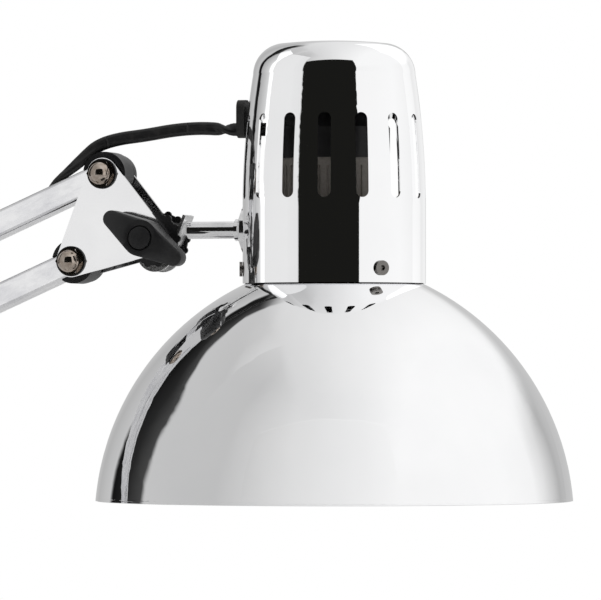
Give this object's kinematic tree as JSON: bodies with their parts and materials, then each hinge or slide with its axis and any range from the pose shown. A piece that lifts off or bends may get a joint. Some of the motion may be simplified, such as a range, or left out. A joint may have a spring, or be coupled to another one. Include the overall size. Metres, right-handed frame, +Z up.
{
  "type": "swing arm desk lamp",
  "caption": "Desk lamp on a round weighted base, with spring-balanced parallel-bar arms, a level elbow and head bracket, and a dome shade that tilts and rolls under a wing-knob clamp.",
  "frame": {"origin": "centre of the base's flat underside, on the table", "axes": "+Z up; the arm works in the XZ plane with the head on the +X side; hinges lie along Y; the user's side, with the wing knob, is -Y"},
  "size_m": [0.6065, 0.2025, 0.6516],
  "materials": {
    "polished_chrome": "mirror bright chrome plate",
    "satin_steel": "plain zinc-plated steel, satin",
    "polished_aluminium": "extruded tube, bright polished",
    "smoked_chrome": "dark warm chrome plate",
    "grey_iron": "rough casting, unpainted",
    "black_nylon": "black moulded plastic, fine matt",
    "grey_phenolic": "warm grey moulded plastic, matt",
    "black_cord": "flexible black cord sheath, matt",
    "black_rubber": "black rubber, matt",
    "opal_glass": "thin glass, frosted white inside",
    "brass_pins": "plain turned brass",
    "satin_aluminium": "thin rolled thread, satin"
  },
  "bodies": {
    "root": {"base_pad": "black_rubber", "base_weight": "grey_iron", "base_cover": "polished_chrome", "base_socket": "polished_chrome", "base_nut": "satin_steel", "cord_gland": "black_rubber", "lead_in_base": "black_cord", "mains_lead": "black_cord", "lead_to_coil": "black_cord", "mains_coil": "black_cord", "switch_body": "black_nylon", "plug_body": "black_nylon", "plug_pins": "brass_pins"},
    "rocker": {"switch_rocker": "black_nylon"},
    "turret": {"base_spindle": "satin_steel", "turret_plates": "polished_chrome", "turret_bolts": "satin_steel", "lead_in_spindle": "black_cord"},
    "lower_arm": {"lower_bar": "polished_aluminium", "lower_bar_ends": "black_nylon", "lower_springs": "satin_steel", "lead_in_lower_bar": "black_cord", "foot_cord": "black_cord", "elbow_cord_lower": "black_cord"},
    "lower_link": {"lower_link_bar": "polished_aluminium", "lower_link_ends": "black_nylon"},
    "elbow": {"elbow_plates": "polished_chrome", "elbow_bolts": "satin_steel"},
    "upper_arm": {"upper_bar": "polished_aluminium", "upper_bar_ends": "black_nylon", "lead_in_upper_bar": "black_cord", "elbow_cord_upper": "black_cord", "head_cord_arm": "black_cord"},
    "upper_link": {"upper_link_bar": "polished_aluminium", "upper_link_ends": "black_nylon", "upper_springs": "satin_steel"},
    "head_bracket": {"head_plates": "polished_chrome", "nut_washers": "black_nylon", "dome_nuts": "smoked_chrome", "head_bolts": "satin_steel", "bolt_caps": "black_nylon", "knuckle_discs": "black_nylon", "clamp_bolt": "satin_steel", "head_cord_knuckle": "black_cord"},
    "knob": {"wing_knob": "black_nylon"},
    "yoke": {"rod_yoke": "satin_steel"},
    "head": {"head_rod": "polished_chrome", "rod_flange": "polished_chrome", "rod_nut": "satin_steel", "head_cap": "polished_chrome", "dome_shade": "polished_chrome", "shade_collar": "satin_steel", "cap_screws": "satin_steel", "lampholder_skirt": "grey_phenolic", "lampholder_cover": "black_nylon", "holder_ring": "grey_phenolic", "bulb_base": "satin_aluminium", "bulb_glass": "opal_glass", "cord_grommet": "black_rubber", "head_cord_cap": "black_cord"}
  },
  "joints": [
    {"name": "base_swivel", "type": "hinge", "parent": "root", "child": "turret", "pos_m": [0, 0, 0.044], "axis": [0, 0, 1], "range_deg": [-170, 170]},
    {"name": "lower_arm_lean", "type": "hinge", "parent": "turret", "child": "lower_arm", "pos_m": [-0.017, 0, 0.062], "axis": [0, -1, 0], "range_deg": [-40, 20], "deforming": ["lower_springs", "foot_cord"]},
    {"name": "lower_link_turn", "type": "hinge", "parent": "turret", "child": "lower_link", "pos_m": [0.017, 0, 0.062], "axis": [0, -1, 0], "range_deg": [-40, 20]},
    {"name": "elbow_level", "type": "hinge", "parent": "lower_arm", "child": "elbow", "pos_m": [-0.16914, 0, 0.38827], "axis": [0, -1, 0], "range_deg": [-20, 40], "deforming": ["elbow_cord_lower"]},
    {"name": "upper_arm_lift", "type": "hinge", "parent": "elbow", "child": "upper_arm", "pos_m": [-0.13724, 0, 0.44737], "axis": [0, -1, 0], "range_deg": [-38, 22], "deforming": ["elbow_cord_upper", "upper_springs"]},
    {"name": "upper_link_turn", "type": "hinge", "parent": "elbow", "child": "upper_link", "pos_m": [-0.15014, 0, 0.41277], "axis": [0, -1, 0], "range_deg": [-38, 22]},
    {"name": "bracket_level", "type": "hinge", "parent": "upper_arm", "child": "head_bracket", "pos_m": [0.21071, 0, 0.60011], "axis": [0, -1, 0], "range_deg": [-22, 38], "deforming": ["head_cord_arm"]},
    {"name": "head_tilt", "type": "hinge", "parent": "head_bracket", "child": "yoke", "pos_m": [0.23131, 0, 0.57421], "axis": [0, -1, 0], "range_deg": [-35, 45], "deforming": ["head_cord_knuckle"]},
    {"name": "head_roll", "type": "hinge", "parent": "yoke", "child": "head", "pos_m": [0.2439, 0, 0.57761], "axis": [1, 0, 0], "range_deg": [-30, 30], "deforming": ["head_cord_cap"]},
    {"name": "knob_turn", "type": "hinge", "parent": "head_bracket", "child": "knob", "pos_m": [0.23131, 0, 0.57421], "axis": [0, -1, 0], "range_deg": [-180, 180]},
    {"name": "rocker_tip", "type": "hinge", "parent": "root", "child": "rocker", "pos_m": [-0.197, 0.028, 0.0135], "axis": [1, 0, 0], "range_deg": [-7, 7]}
  ],
  "couplings": [
    {"joint": "lower_link_turn", "follows": "lower_arm_lean", "ratio": 1},
    {"joint": "elbow_level", "follows": "lower_arm_lean", "ratio": -1},
    {"joint": "upper_link_turn", "follows": "upper_arm_lift", "ratio": 1},
    {"joint": "bracket_level", "follows": "upper_arm_lift", "ratio": -1}
  ]
}
